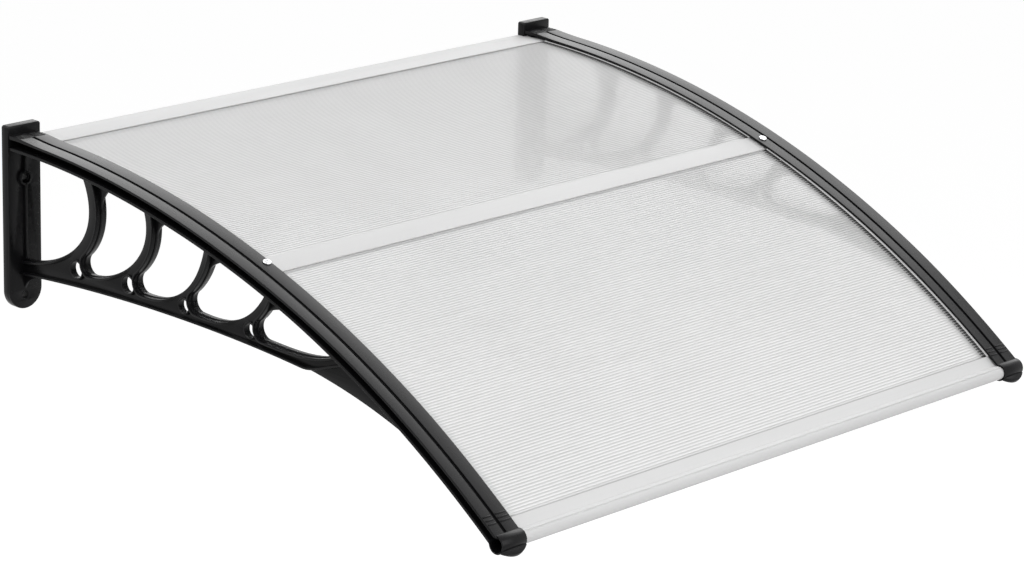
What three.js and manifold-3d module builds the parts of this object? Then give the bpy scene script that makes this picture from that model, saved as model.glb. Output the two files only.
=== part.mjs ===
// Door awning: two moulded scroll brackets carry two twin-wall sheets between three extruded bars.
// Millimetres, +Z up. X runs along the wall, the wall is the plane Y = 0 and the awning reaches to -Y.
// The origin is on the wall, midway between the brackets, level with the rear end of the rails' slots.
import * as THREE from 'three';
import { mergeVertices } from 'three/addons/utils/BufferGeometryUtils.js';
import Module from 'manifold-3d';

const wasm = await Module();
wasm.setup();

// Driving dimensions
const bracketSpacing = 1000; // between the brackets' middle planes
const archRadius = 1550; // of the slot's middle line
const archLength = 996; // along that line, from the wall plate to the roll's axis
const clearance = 0.3; // between pieces that touch

// Wall plate of a bracket
const plateWidth = 55.5;
const plateThickness = 13.4;
const plateRise = 24.6; // top edge above the slot
const plateDrop = 236.6; // foot below the slot
const plateCorner = 3.5;
const plateEdge = 0.8;
const plateWall = 4;
const plateRib = 4; // height of the rib on the front face
const pocketPitch = 34; // moulding pockets in the back face
const pocketRib = 3.5;
const upperHoleDrop = 50;
const lowerHoleDrop = 217;
const wallHole = 9;
const wallHoleSeat = 15;
const seatDepth = 5;
const wallHoleBoss = 21;

// Slotted rail of a bracket
const railWidth = 42;
const topFlange = 5.2;
const lowerFlange = 4;
const slotHeight = 9;
const railWeb = 5;
const railEdge = 2.2;
const grooveWidth = 3;
const grooveDepth = 2;
const grooveStart = 25; // at the end of the thicker pad in front of the plate
const padLift = 2.6;
const padRun = 52; // length over which the rail thins down from the pad
const ridgeCount = 3;
const ridgePitch = 5.8;
const ridgeWidth = 2.6;
const ridgeHeight = 1;
const ridgeInset = 11; // from the wall plate, and from the roll

// Roll and drip tongue at the rail's front end
const beadRadius = 9.8;
const rollWall = 2.2;
const tongueThickness = 5.5;
const tongueReach = 21.4; // from the roll's axis
const tongueBow = 8.4; // how far its front edge bows out

// Scroll work under the rail
const webThickness = 4;
const ribbonWidth = 18;
const ribbonThickness = 3;
const ribbonLip = 1.5; // the web stands proud of the ribbons by this much
const ribbonRunOut = 34; // length over which a ribbon dies away
const runOutEnd = 0.42; // part of the next web edge that a ribbon follows
const chordDrop = 170; // level of the openings' lower edges, below the slot
const chordFall = 17.4; // from there to the chord's lower edge at the plate
const chordDip = 8.8; // and where it turns up
const chordHandles = [[177, 19], [-175, 14]]; // of the curve between the two
const turnHandles = [[25, -2], [-43, -9]]; // of the curve from there up to the rail
const finHandle = [200, -26]; // of the curve from there along the rail
const finSetback = 26; // the web runs out on the rail this far behind the roll
const chordSetback = 121; // the chord turns up this far short of meeting the rail
const chordTipSetback = 28; // and its tip runs out on the rail here
const lastEdgeSetback = 51; // with the last opening's end behind it
const footRadius = 13.7;
const throatAngle = 120; // where a strut runs into its foot, in degrees
const eyeRim = 2.2;
const eyeThickness = 10;
const gussetReach = 46;
const gussetBend = 0.6; // the higher, the tighter a gusset's edge turns into its strut
const footGusset = 20;
const footGussetBow = 8;

// Extruded bars and twin-wall sheets
const barEndGap = 1; // to the rail's web
const barGrip = 16; // how far a sheet goes into a bar
const barWall = 1.6;
const rearBarReach = 52; // front edge of the rear bar, from the wall
const middleBarArc = 480.7; // along the slot, from the wall plate
const middleBarWidth = 34;
const middleBarCore = 11.6;
const frontBarReach = 27.4; // from the roll's axis back to the bar's rear edge
const beadWall = 1.6;
const sheetThickness = 4.2;
const sheetFit = 0.4;
const sheetEndGap = 1;
const skin = 0.45;
const fluteRib = 0.45;
const flutePitch = 4.4;

// Screws that hold the middle bar
const screwInset = 14; // from the bracket's middle plane towards the sheets
const screwShank = 5;
const screwHead = 11.6;
const screwDome = 2.9;
const screwRim = 0.9; // height of the head at its edge
const screwShoulder = 1.9; // the dome's curve starts this far in
const screwTip = 4;

// Sizes that follow from these
const slotHalf = slotHeight / 2;
const railTop = slotHalf + topFlange;
const railBottom = slotHalf + lowerFlange;
const socketRadius = beadRadius + clearance;
const rollRadius = socketRadius + rollWall;
const rollAngle = archLength / archRadius;
const barLength = bracketSpacing - railWeb - 2 * barEndGap;
const weld = 2; // overlap of forms that are moulded as one

// Openings of the scroll work, from the wall outwards. foot is how far the strut's foot is from the wall,
// rise its height over the chord, top the strut's place at the rail and edge the next web edge there.
// The first opening has the plate for a strut, and rise is the height of its lower edge at the plate.
// The pairs are the handles of the curves at those ends. brace is the part of the strut that its gusset
// covers, hole the radius of the eye beside its foot and eye the way there from the foot's centre.
const openings = [
  { rise: 4, edge: 131, low: [105, 9], high: [60, -83] },
  {
    foot: 158, rise: 28.5, hole: 11.5, eye: [-29.8, -13], brace: 0.45,
    top: 163, lean: [19, -29], heel: [38, 37], edge: 257, low: [68, 5], high: [44, -67],
  },
  {
    foot: 267, rise: 28.5, hole: 11.5, eye: [-31.2, -9], brace: 0.5,
    top: 285.6, lean: [9, -20], heel: [40, 35], edge: 388.7, low: [70, -2], high: [-11, -68],
  },
  {
    foot: 376.5, rise: 28, hole: 9.3, eye: [-27.8, -11], brace: 0.52,
    top: 405.2, lean: [1, -21], heel: [24, 22], edge: 510.8, low: [80, -6], high: [-23, -42],
  },
  {
    foot: 505.6, rise: 22.4, hole: 9.4, eye: [-28.1, -7.3], brace: 0.75,
    top: 525.8, lean: [-4, -13], heel: [13, 13], low: [52, -2], high: [-45, -22],
  },
];

// The side view has u, the distance from the wall, and z
const at = (u, z) => new THREE.Vector2(u, z);

// Point on the arch: s along the slot's middle line from the wall plate, h above that line
function archPoint(s, h = 0) {
  if (s < 0) return at(plateThickness + s, h);
  const angle = s / archRadius;
  const radius = archRadius + h;
  return at(plateThickness + radius * Math.sin(angle), radius * Math.cos(angle) - archRadius);
}

// Height of an arc h above the slot's middle line, at a distance u from the wall
function archHeight(u, h) {
  const radius = archRadius + h;
  return Math.sqrt(radius ** 2 - (u - plateThickness) ** 2) - archRadius;
}

// How far the arch falls away from a straight bar that reaches this far from where they touch
const sag = (reach) => reach ** 2 / (2 * archRadius);

const sideView = new THREE.Matrix4().makeBasis(
  new THREE.Vector3(0, -1, 0), new THREE.Vector3(0, 0, 1), new THREE.Vector3(-1, 0, 0));
const topView = new THREE.Matrix4().makeBasis(
  new THREE.Vector3(0, -1, 0), new THREE.Vector3(1, 0, 0), new THREE.Vector3(0, 0, 1));
const frontView = new THREE.Matrix4().makeBasis(
  new THREE.Vector3(1, 0, 0), new THREE.Vector3(0, 0, 1), new THREE.Vector3(0, -1, 0));

// A closed geometry as a solid that can be joined and cut
function solid(geometry) {
  const bare = geometry.clone();
  bare.deleteAttribute('normal');
  bare.deleteAttribute('uv');
  const merged = mergeVertices(bare, 1e-4);
  return new wasm.Manifold(new wasm.Mesh({
    numProp: 3,
    vertProperties: Float32Array.from(merged.attributes.position.array),
    triVerts: Uint32Array.from(merged.index.array),
  }));
}

function geometryOf(body) {
  const mesh = body.getMesh();
  const geometry = new THREE.BufferGeometry();
  geometry.setAttribute('position', new THREE.BufferAttribute(Float32Array.from(mesh.vertProperties), 3));
  geometry.setIndex(new THREE.BufferAttribute(Uint32Array.from(mesh.triVerts), 1));
  geometry.computeVertexNormals();
  return geometry;
}

const join = (bodies) => bodies.reduce((whole, body) => whole.add(body));

function extrude(shape, depth, view, options = {}) {
  const plain = { depth, bevelEnabled: false, curveSegments: 10 };
  const geometry = new THREE.ExtrudeGeometry(shape, { ...plain, ...options });
  return geometry.translate(0, 0, -depth / 2).applyMatrix4(view);
}

// A side-view shape, as wide as given and centred on the bracket's middle plane
const sideSolid = (shape, width, options) => solid(extrude(shape, width, sideView, options));

function box(width, depth, height) {
  return solid(new THREE.BoxGeometry(width, depth, height));
}

// Round bar along X
function crossBar(radius, width, sides) {
  return solid(new THREE.CylinderGeometry(radius, radius, width, sides).rotateZ(Math.PI / 2));
}

// Round bar along Y, between two distances from the wall
function throughBar(diameter, from, to, sides) {
  const length = to - from;
  return solid(new THREE.CylinderGeometry(diameter / 2, diameter / 2, length, sides))
    .translate([0, -(from + to) / 2, 0]);
}

// Move a solid made flat, with -Y along the rail and +Z off it, to a place on the arch
function onArch(body, s, h = 0) {
  const place = archPoint(s, h);
  return body.rotate([THREE.MathUtils.radToDeg(s / archRadius), 0, 0]).translate([0, -place.x, place.y]);
}

// A strip beside a path, between two distances to its right
function strip(points, near, far) {
  const side = (distance) => points.map((point, i) => {
    const before = points[Math.max(i - 1, 0)];
    const after = points[Math.min(i + 1, points.length - 1)];
    const along = after.clone().sub(before).normalize();
    return at(point.x + distance * along.y, point.y - distance * along.x);
  });
  return new THREE.Shape([...side(near), ...side(far).reverse()]);
}

// Points of a curve with a handle at each end, over a part of its length
function bezier(start, startHandle, endHandle, end, count, from = 0, to = 1) {
  const curve = new THREE.CubicBezierCurve(
    start, at(start.x + startHandle[0], start.y + startHandle[1]),
    at(end.x + endHandle[0], end.y + endHandle[1]), end);
  return Array.from({ length: count + 1 }, (_, i) => curve.getPoint(from + (to - from) * i / count));
}

function arc(centre, radius, from, to, count) {
  return Array.from({ length: count + 1 }, (_, i) => {
    const angle = THREE.MathUtils.degToRad(from + (to - from) * i / count);
    return at(centre.x + radius * Math.cos(angle), centre.y + radius * Math.sin(angle));
  });
}

// Distance from the wall where the rail's underside comes down to the chord's level
const chordMeet = plateThickness + Math.sqrt((archRadius - railBottom) ** 2 - (archRadius - chordDrop) ** 2);

// Points on the middle of the lower flange, where the scroll work grows out of the rail
const railRoot = (u) => at(u, archHeight(u, -slotHalf - lowerFlange / 2));

const footCentre = ({ foot, rise }) => at(foot, rise - chordDrop);

// From the rail down a strut to its throat
function strutPath(opening, count, from = 0) {
  const throat = arc(footCentre(opening), footRadius, throatAngle, throatAngle, 1)[0];
  return bezier(railRoot(opening.top), opening.lean, opening.heel, throat, count, from);
}

// Round the foot
const footPath = (opening) => arc(footCentre(opening), footRadius, throatAngle, 270, 4);

// Along the chord and up the next strut to the rail
function edgePath(opening, count, to = 1) {
  const start = opening.foot
    ? at(opening.foot, footCentre(opening).y - footRadius)
    : at(plateThickness - weld, opening.rise - chordDrop);
  const end = railRoot(opening.edge ?? chordMeet - lastEdgeSetback);
  return bezier(start, opening.low, opening.high, end, count, 0, to);
}

// Lower edge of the chord, from the plate to where it turns up to the rail
const chordEnd = at(chordMeet - chordSetback, -chordDrop - chordDip);
function chordPath() {
  const start = at(plateThickness - weld, -chordDrop - chordFall);
  return bezier(start, ...chordHandles, chordEnd, 7);
}

const turnPath = () => bezier(chordEnd, ...turnHandles, railRoot(chordMeet - chordTipSetback), 5);

function webOutline() {
  const root = -slotHalf - lowerFlange / 4;
  const finStart = archLength - finSetback;
  const bow = at(chordEnd.x + finHandle[0], chordEnd.y + finHandle[1]);
  const fin = new THREE.QuadraticBezierCurve(chordEnd, bow, archPoint(finStart, root)).getPoints(7);
  const railLine = Array.from({ length: 13 }, (_, i) => archPoint(finStart * (1 - i / 12), root));
  const wallEnd = [at(plateThickness - weld, root)];
  return [...chordPath(), ...fin.slice(1), ...railLine.slice(1), ...wallEnd];
}

function openingOutline(opening) {
  const edge = edgePath(opening, 9);
  if (!opening.foot) {
    const ribLine = plateThickness + plateRib;
    const inside = edge.filter((point) => point.x > ribLine);
    return [railRoot(ribLine), at(ribLine, inside[0].y), ...inside];
  }
  const strut = strutPath(opening, 3, opening.brace);
  const bend = strutPath(opening, 1, opening.brace * gussetBend)[0];
  const root = railRoot(opening.top + gussetReach);
  const gusset = new THREE.QuadraticBezierCurve(root, bend, strut[0]).getPoints(3);
  return [...gusset, ...strut.slice(1), ...footPath(opening).slice(1), ...edge.slice(1)];
}

function scrollWork() {
  const web = new THREE.Shape(webOutline());
  web.holes = openings.map((opening) => new THREE.Path(openingOutline(opening)));
  const bodies = [sideSolid(web, webThickness)];

  // Concave gusset between the chord and the plate
  const chord = chordPath();
  const gusset = new THREE.Shape();
  gusset.moveTo(chord[0].x, chord[0].y + weld);
  gusset.lineTo(chord[0].x, chord[0].y - footGusset);
  gusset.lineTo(plateThickness, chord[0].y - footGusset);
  gusset.quadraticCurveTo(plateThickness + footGussetBow, chord[1].y, chord[2].x, chord[2].y);
  gusset.lineTo(chord[2].x, chord[2].y + weld);
  bodies.push(sideSolid(gusset, webThickness));

  // Ribbons that stiffen the openings and the chord
  for (const opening of openings) {
    const last = opening === openings[openings.length - 1];
    const edge = last ? edgePath(opening, 7) : edgePath(opening, 4, runOutEnd);
    const path = opening.foot
      ? [...strutPath(opening, 5), ...footPath(opening).slice(1), ...edge.slice(1)]
      : edge;
    const ribbon = sideSolid(strip(path, ribbonLip, ribbonLip + ribbonThickness), ribbonWidth);
    if (last) {
      bodies.push(ribbon);
      continue;
    }
    const end = path[path.length - 1].x;
    const wide = ribbonWidth / 2;
    const narrow = webThickness / 2;
    const runOut = new THREE.Shape([at(0, wide), at(0, -wide), at(end - ribbonRunOut, -wide),
      at(end + ribbonThickness, -narrow), at(end + ribbonThickness, narrow), at(end - ribbonRunOut, wide)]);
    const reach = 2 * (plateDrop + plateRise);
    bodies.push(ribbon.intersect(solid(extrude(runOut, reach, topView))));
  }
  bodies.push(sideSolid(strip([...chordPath(), ...turnPath().slice(1)], -ribbonThickness, 0), ribbonWidth));

  // Ringed eyes at the struts' feet
  const feet = openings.filter((opening) => opening.foot);
  const eyeAt = (opening, radius, width) => {
    const centre = footCentre(opening);
    return crossBar(radius, width, 14).translate([0, -centre.x - opening.eye[0], centre.y + opening.eye[1]]);
  };
  const rings = feet.map((opening) => eyeAt(opening, opening.hole + eyeRim, eyeThickness));
  const eyes = feet.map((opening) => eyeAt(opening, opening.hole, ribbonWidth + weld));
  return join([...bodies, ...rings]).subtract(join(eyes));
}

// The arch as a path for the rail's section, from inside the plate
class ArchPath extends THREE.Curve {
  constructor(from, to) {
    super();
    this.from = from;
    this.to = to;
  }

  getPoint(t, target = new THREE.Vector3()) {
    const point = archPoint(this.from + (this.to - this.from) * t);
    return target.set(0, -point.x, point.y);
  }
}

// A section swept along the arch. Its x points down from the slot's middle line and its y along +X
function sweep(section, from, to, steps) {
  const extrudePath = new ArchPath(from, to);
  return solid(new THREE.ExtrudeGeometry(section, { steps, extrudePath, curveSegments: 1 }));
}

function railSection() {
  const half = railWidth / 2;
  const web = railWeb / 2;
  const groove = grooveWidth / 2;
  const section = new THREE.Shape();
  section.moveTo(-railTop, groove);
  section.lineTo(-railTop, half - railEdge);
  section.absarc(-railTop + railEdge, half - railEdge, railEdge, Math.PI, Math.PI / 2, true);
  section.lineTo(-slotHalf, half);
  section.lineTo(-slotHalf, web);
  section.lineTo(slotHalf, web);
  section.lineTo(slotHalf, half);
  section.lineTo(railBottom, half);
  section.lineTo(railBottom, -half);
  section.lineTo(slotHalf, -half);
  section.lineTo(slotHalf, -web);
  section.lineTo(-slotHalf, -web);
  section.lineTo(-slotHalf, -half);
  section.absarc(-railTop + railEdge, railEdge - half, railEdge, -Math.PI / 2, -Math.PI, true);
  section.lineTo(-railTop, -groove);
  section.lineTo(grooveDepth - railTop, 0);
  return section;
}

// The rail's top is thicker in front of the plate and thins down beside the groove
function wallPad() {
  const inside = railTop - topFlange / 2;
  const high = railTop + padLift;
  const padEnd = grooveStart + padRun;
  const pad = new THREE.Shape([
    at(plateThickness - weld, inside), archPoint(grooveStart, inside), archPoint(grooveStart, high),
    at(plateThickness - weld, high)]);
  const slope = Array.from({ length: 5 }, (_, i) => {
    const rest = 1 - i / 4;
    return archPoint(padEnd - rest * padRun, railTop + padLift * rest ** 2);
  });
  const thinning = new THREE.Shape([
    archPoint(grooveStart - weld, high), ...slope, archPoint(padEnd, inside),
    archPoint(grooveStart + padRun / 2, inside), archPoint(grooveStart - weld, inside)]);
  const width = (railWidth - grooveWidth) / 2;
  const half = sideSolid(thinning, width);
  const aside = (width + grooveWidth) / 2;
  return join([sideSolid(pad, railWidth), half.translate([-aside, 0, 0]), half.translate([aside, 0, 0])]);
}

function ridges() {
  const innerEnd = grooveWidth;
  const outerEnd = railWidth / 2 - railEdge;
  const length = outerEnd - innerEnd;
  const rows = [
    [ridgeInset, railTop + padLift],
    [archLength - rollRadius - ridgeInset - (ridgeCount - 1) * ridgePitch, railTop]];
  const ridge = box(length, ridgeWidth, 2 * ridgeHeight);
  const aside = innerEnd + length / 2;
  return rows.flatMap(([start, height]) => Array.from({ length: 2 * ridgeCount }, (_, i) => {
    const side = i < ridgeCount ? -aside : aside;
    return onArch(ridge.translate([side, 0, 0]), start + i % ridgeCount * ridgePitch, height);
  }));
}

function rail() {
  return join([sweep(railSection(), -weld, archLength, 20), wallPad(), ...ridges()]);
}

// Roll and tongue, solid
function frontEnd() {
  const half = railWidth / 2;
  const side = tongueReach - tongueBow;
  const plan = new THREE.Shape();
  plan.moveTo(0, -half);
  plan.lineTo(side, -half);
  plan.quadraticCurveTo(tongueReach + tongueBow, 0, side, half);
  plan.lineTo(0, half);
  const tongue = solid(extrude(plan, tongueThickness, topView));
  return onArch(crossBar(rollRadius, railWidth, 26).add(tongue), archLength);
}

// What the bars' ends slide into: a round socket and its mouth on each side of the web
function sockets() {
  const depth = railWidth - railWeb;
  const mouth = box(depth, rollRadius + weld, slotHeight).translate([0, (rollRadius + weld) / 2, 0]);
  const socket = crossBar(socketRadius, depth, 22).add(mouth);
  const aside = (railWeb + depth) / 2;
  return onArch(socket.translate([-aside, 0, 0]).add(socket.translate([aside, 0, 0])), archLength);
}

function wallPlate() {
  const half = plateWidth / 2;
  const corner = at(half - plateCorner, plateRise - plateCorner);
  const outline = new THREE.Shape([
    ...arc(at(0, half - plateDrop), half, 180, 360, 16),
    ...arc(corner, plateCorner, 0, 90, 2),
    ...arc(at(-corner.x, corner.y), plateCorner, 90, 180, 2)]);
  const front = { bevelEnabled: true, bevelSegments: 1, bevelSize: plateEdge, bevelThickness: plateEdge,
    bevelOffset: -plateEdge };
  const inner = plateThickness - 2 * plateEdge;
  const body = solid(extrude(outline, inner, frontView, front)).translate([0, -plateThickness / 2, 0]);

  // Pockets that keep the moulding's walls even, above and below the land round the upper hole
  const land = wallHoleBoss / 2;
  const fields = [
    [plateRise - plateWall, land - upperHoleDrop],
    [-land - upperHoleDrop, land - lowerHoleDrop]];
  const pocketWidth = half - plateWall - pocketRib / 2;
  const pocketDepth = plateThickness - plateWall;
  const pockets = fields.flatMap(([top, bottom]) => {
    const rows = Math.max(1, Math.round((top - bottom) / pocketPitch));
    const pitch = (top - bottom) / rows;
    const pocket = box(pocketWidth, pocketDepth + weld, pitch - pocketRib);
    const levels = Array.from({ length: rows }, (_, row) => top - (row + 0.5) * pitch);
    const aside = (pocketRib + pocketWidth) / 2;
    return levels.flatMap((z) => [-1, 1].map((side) =>
      pocket.translate([side * aside, (weld - pocketDepth) / 2, z])));
  });
  const boss = throughBar(wallHoleBoss, plateThickness - weld, plateThickness + plateRib, 20);
  return body.subtract(join(pockets)).add(boss.translate([0, 0, -upperHoleDrop]));
}

function wallHoles() {
  const front = plateThickness + plateRib + weld;
  const through = throughBar(wallHole, -weld, front, 16);
  const seat = throughBar(wallHoleSeat, plateThickness + plateRib - seatDepth, front, 16);
  return through.add(seat).translate([0, 0, -upperHoleDrop]).add(through.translate([0, 0, -lowerHoleDrop]));
}

// Holes of the middle bar's screw through the rail, on the side where the sheets are
function screwHole(inboard) {
  const hole = solid(new THREE.CylinderGeometry(screwShank / 2 + clearance, screwShank / 2 + clearance,
    4 * railTop, 12).rotateX(Math.PI / 2));
  return onArch(hole.translate([inboard * screwInset, 0, 0]), middleBarArc);
}

function bracket(inboard) {
  const moulding = join([wallPlate(), rail(), frontEnd(), scrollWork()]);
  return geometryOf(moulding.subtract(sockets()).subtract(wallHoles()).subtract(screwHole(inboard)));
}

// Twin-wall sheet between two places on the arch, with flutes that run along the wall
function sheet(from, to) {
  const half = sheetThickness / 2;
  const count = Math.floor((to - from - fluteRib) / flutePitch);
  const margin = (to - from - count * flutePitch) / 2;
  const edge = (h) => Array.from({ length: 17 }, (_, i) => archPoint(from + (to - from) * i / 16, h));
  const shape = new THREE.Shape([...edge(-half), ...edge(half).reverse()]);
  shape.holes = Array.from({ length: count }, (_, i) => {
    const start = from + margin + i * flutePitch + fluteRib / 2;
    const end = start + flutePitch - fluteRib;
    const inner = half - skin;
    const corners = [[start, -inner], [end, -inner], [end, inner], [start, inner]];
    return new THREE.Path(corners.map(([s, h]) => archPoint(s, h)));
  });
  return extrude(shape, barLength, sideView);
}

// A rectangle of a bar's section, in the bar's own flat frame
const plank = (from, to, low, high) => [at(from, low), at(to, low), at(to, high), at(from, high)];

const rearSag = sag(rearBarReach - plateThickness);
const rearHalf = slotHalf - clearance - rearSag / 2;
const rearCore = rearBarReach - barGrip;
const grip = sheetThickness / 2 + sheetFit;

// Box with a groove for the sheet, notched round the wall plates
function rearBar() {
  const shape = new THREE.Shape([
    at(0, -rearHalf), at(rearBarReach, -rearHalf), at(rearBarReach, -grip), at(rearCore, -grip),
    at(rearCore, grip), at(rearBarReach, grip), at(rearBarReach, rearHalf), at(0, rearHalf)]);
  shape.holes = [new THREE.Path(plank(barWall, rearCore - barWall, barWall - rearHalf, rearHalf - barWall))];
  const bar = sideSolid(shape, barLength).translate([0, 0, -rearSag / 2]);
  const notchDepth = plateThickness + clearance;
  const notchSide = bracketSpacing / 2 - plateWidth / 2 - clearance;
  const notch = box(plateWidth, 2 * notchDepth, 4 * rearHalf);
  const notches = [-1, 1].map((side) => notch.translate([side * (notchSide + plateWidth / 2), 0, 0]));
  return geometryOf(bar.subtract(join(notches)));
}

// H section with a hollow core, which the screws pass through
function middleBar() {
  const half = middleBarWidth / 2;
  const high = slotHalf - clearance - sag(half) / 2;
  const core = middleBarCore / 2;
  const shape = new THREE.Shape([
    at(-half, -high), at(half, -high), at(half, -grip), at(core, -grip), at(core, grip), at(half, grip),
    at(half, high), at(-half, high), at(-half, grip), at(-core, grip), at(-core, -grip), at(-half, -grip)]);
  shape.holes = [new THREE.Path(plank(barWall - core, core - barWall, barWall - high, high - barWall))];
  const hole = solid(new THREE.CylinderGeometry(screwShank / 2 + clearance, screwShank / 2 + clearance,
    4 * high, 12).rotateX(Math.PI / 2));
  const place = bracketSpacing / 2 - screwInset;
  const holes = hole.translate([-place, 0, 0]).add(hole.translate([place, 0, 0]));
  return geometryOf(sideSolid(shape, barLength).subtract(holes));
}

// Grooved strip that ends in a round hollow bead
function frontBar() {
  const drop = sag(frontBarReach);
  const high = slotHalf - clearance - drop / 2;
  const seat = drop / 2;
  const core = frontBarReach - barGrip;
  const strip = new THREE.Shape([
    at(-frontBarReach, -high - seat), at(0, -high - seat), at(0, high - seat),
    at(-frontBarReach, high - seat), at(-frontBarReach, grip - drop), at(-core, grip - drop),
    at(-core, -grip - drop), at(-frontBarReach, -grip - drop)]);
  const bead = crossBar(beadRadius, barLength, 24).add(sideSolid(strip, barLength));
  const bore = crossBar(beadRadius - beadWall, barLength + weld, 20);
  return geometryOf(bead.subtract(bore));
}

// Pan-head screw, drawn upright with its seat at z = 0
function screw() {
  const headRadius = screwHead / 2;
  const shankRadius = screwShank / 2;
  const length = railTop + railBottom;
  const profile = [
    at(0, -length - screwTip), at(shankRadius, -length), at(shankRadius, 0), at(headRadius, 0)];
  const dome = new THREE.QuadraticBezierCurve(
    at(headRadius, screwRim), at(headRadius - screwShoulder, screwDome), at(0, screwDome)).getPoints(3);
  return new THREE.LatheGeometry([...profile, ...dome], 14).rotateX(Math.PI / 2);
}

const finish = (color, roughness, metalness) => new THREE.MeshStandardMaterial({
  color, roughness, metalness, flatShading: true });

const blackPlastic = () => finish(0x1d1d1f, 0.42, 0);
const polycarbonate = () => Object.assign(finish(0xdfe1e2, 0.3, 0), { transparent: true, opacity: 0.6 });
const satinAluminium = () => finish(0xdcdddd, 0.42, 0.9);
const brightZinc = () => finish(0xe8e8e8, 0.25, 1);

const awning = new THREE.Group();
awning.name = 'door_awning';

function add(name, geometry, material, place = [0, 0, 0], tilt = 0) {
  const mesh = new THREE.Mesh(geometry, material);
  mesh.name = name;
  mesh.position.set(...place);
  mesh.rotation.x = tilt;
  awning.add(mesh);
}

const place = (s, h = 0, x = 0) => {
  const point = archPoint(s, h);
  return [x, -point.x, point.y];
};
const tilt = (s) => s / archRadius;

add('left_bracket', bracket(1), blackPlastic(), [-bracketSpacing / 2, 0, 0]);
add('right_bracket', bracket(-1), blackPlastic(), [bracketSpacing / 2, 0, 0]);

const rearSheetStart = rearCore - plateThickness + sheetEndGap;
const rearSheetEnd = middleBarArc - middleBarCore / 2 - sheetEndGap;
const frontSheetStart = middleBarArc + middleBarCore / 2 + sheetEndGap;
const frontSheetEnd = archLength - (frontBarReach - barGrip) - sheetEndGap;
add('rear_sheet', sheet(rearSheetStart, rearSheetEnd), polycarbonate());
add('front_sheet', sheet(frontSheetStart, frontSheetEnd), polycarbonate());

add('rear_bar', rearBar(), satinAluminium());
add('middle_bar', middleBar(), satinAluminium(), place(middleBarArc), tilt(middleBarArc));
add('front_bar', frontBar(), satinAluminium(), place(archLength), rollAngle);

const screwPlace = bracketSpacing / 2 - screwInset;
const screwSeat = railTop + clearance;
add('left_screw', screw(), brightZinc(), place(middleBarArc, screwSeat, -screwPlace), tilt(middleBarArc));
add('right_screw', screw(), brightZinc(), place(middleBarArc, screwSeat, screwPlace), tilt(middleBarArc));

export default awning;
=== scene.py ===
import math

import bmesh
import bpy
from mathutils import Matrix, Vector


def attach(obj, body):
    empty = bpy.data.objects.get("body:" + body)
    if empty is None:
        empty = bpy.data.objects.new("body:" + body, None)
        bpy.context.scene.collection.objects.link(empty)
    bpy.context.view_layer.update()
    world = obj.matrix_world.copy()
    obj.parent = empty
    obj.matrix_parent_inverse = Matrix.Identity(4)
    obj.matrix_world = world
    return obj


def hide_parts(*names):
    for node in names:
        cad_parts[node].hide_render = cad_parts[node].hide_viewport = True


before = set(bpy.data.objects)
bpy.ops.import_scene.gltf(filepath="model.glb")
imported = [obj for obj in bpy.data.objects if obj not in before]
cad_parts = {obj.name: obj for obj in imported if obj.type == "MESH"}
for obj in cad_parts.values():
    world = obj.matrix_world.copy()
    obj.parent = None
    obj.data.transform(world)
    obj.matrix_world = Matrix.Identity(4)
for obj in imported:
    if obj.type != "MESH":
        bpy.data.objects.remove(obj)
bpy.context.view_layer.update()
print("frame loaded with", len(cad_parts), "nodes")

mm = 0.001  # shapes are drawn in millimetres

# the arch that rails, sheets and bars follow: s runs along the slot's middle line, h stands off it
arch = {
    "radius": 1550.0,
    "length": 996.0,
    "plate": 13.4,  # the rail starts on the front of the wall plate
    "slot": 9.0,
    "topFlange": 5.2,
    "lowerFlange": 4.0,
    "spacing": 1000.0,  # between the brackets
    "barHalf": 496.5,
    "gap": 0.3,
}
slotHalf = arch["slot"] / 2
railTop = slotHalf + arch["topFlange"]
railBottom = slotHalf + arch["lowerFlange"]
bracketAt = arch["spacing"] / 2
weld = 2.0  # forms moulded as one run this far into each other


def archPoint(s, h=0.0):
    if s < 0:
        return (arch["plate"] + s, h)
    turn = s / arch["radius"]
    reach = arch["radius"] + h
    return (arch["plate"] + reach * math.sin(turn), reach * math.cos(turn) - arch["radius"])


def archHeight(u, h):
    return math.sqrt((arch["radius"] + h) ** 2 - (u - arch["plate"]) ** 2) - arch["radius"]


def tilted(s, points):  # flat points (along the rail, off it) set on the arch at s
    turn = s / arch["radius"]
    u, z = archPoint(s)
    c, d = math.cos(turn), math.sin(turn)
    return [(u + a * c + h * d, z - a * d + h * c) for a, h in points]


def eased(share):  # 0 to 1 with soft ends
    share = min(max(share, 0.0), 1.0)
    return share * share * (3 - 2 * share)


def circle(a, b, radius, steps, start=0.0, end=360.0):
    whole = abs(end - start) >= 360.0
    count = steps if whole else steps + 1
    turns = [math.radians(start + (end - start) * i / steps) for i in range(count)]
    return [(a + radius * math.cos(t), b + radius * math.sin(t)) for t in turns]


def bezier(p0, p1, p2, p3, steps, start=0.0, end=1.0):
    points = []
    for i in range(steps + 1):
        t = start + (end - start) * i / steps
        k = ((1 - t) ** 3, 3 * t * (1 - t) ** 2, 3 * t * t * (1 - t), t ** 3)
        points.append(tuple(sum(w * p[j] for w, p in zip(k, (p0, p1, p2, p3))) for j in (0, 1)))
    return points


def softCorner(start, corner, end, steps):  # curve that touches the corner's two sides at its ends
    third = [tuple(a + (c - a) * 2 / 3 for a, c in zip(p, corner)) for p in (start, end)]
    return bezier(start, third[0], third[1], end, steps)


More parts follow.
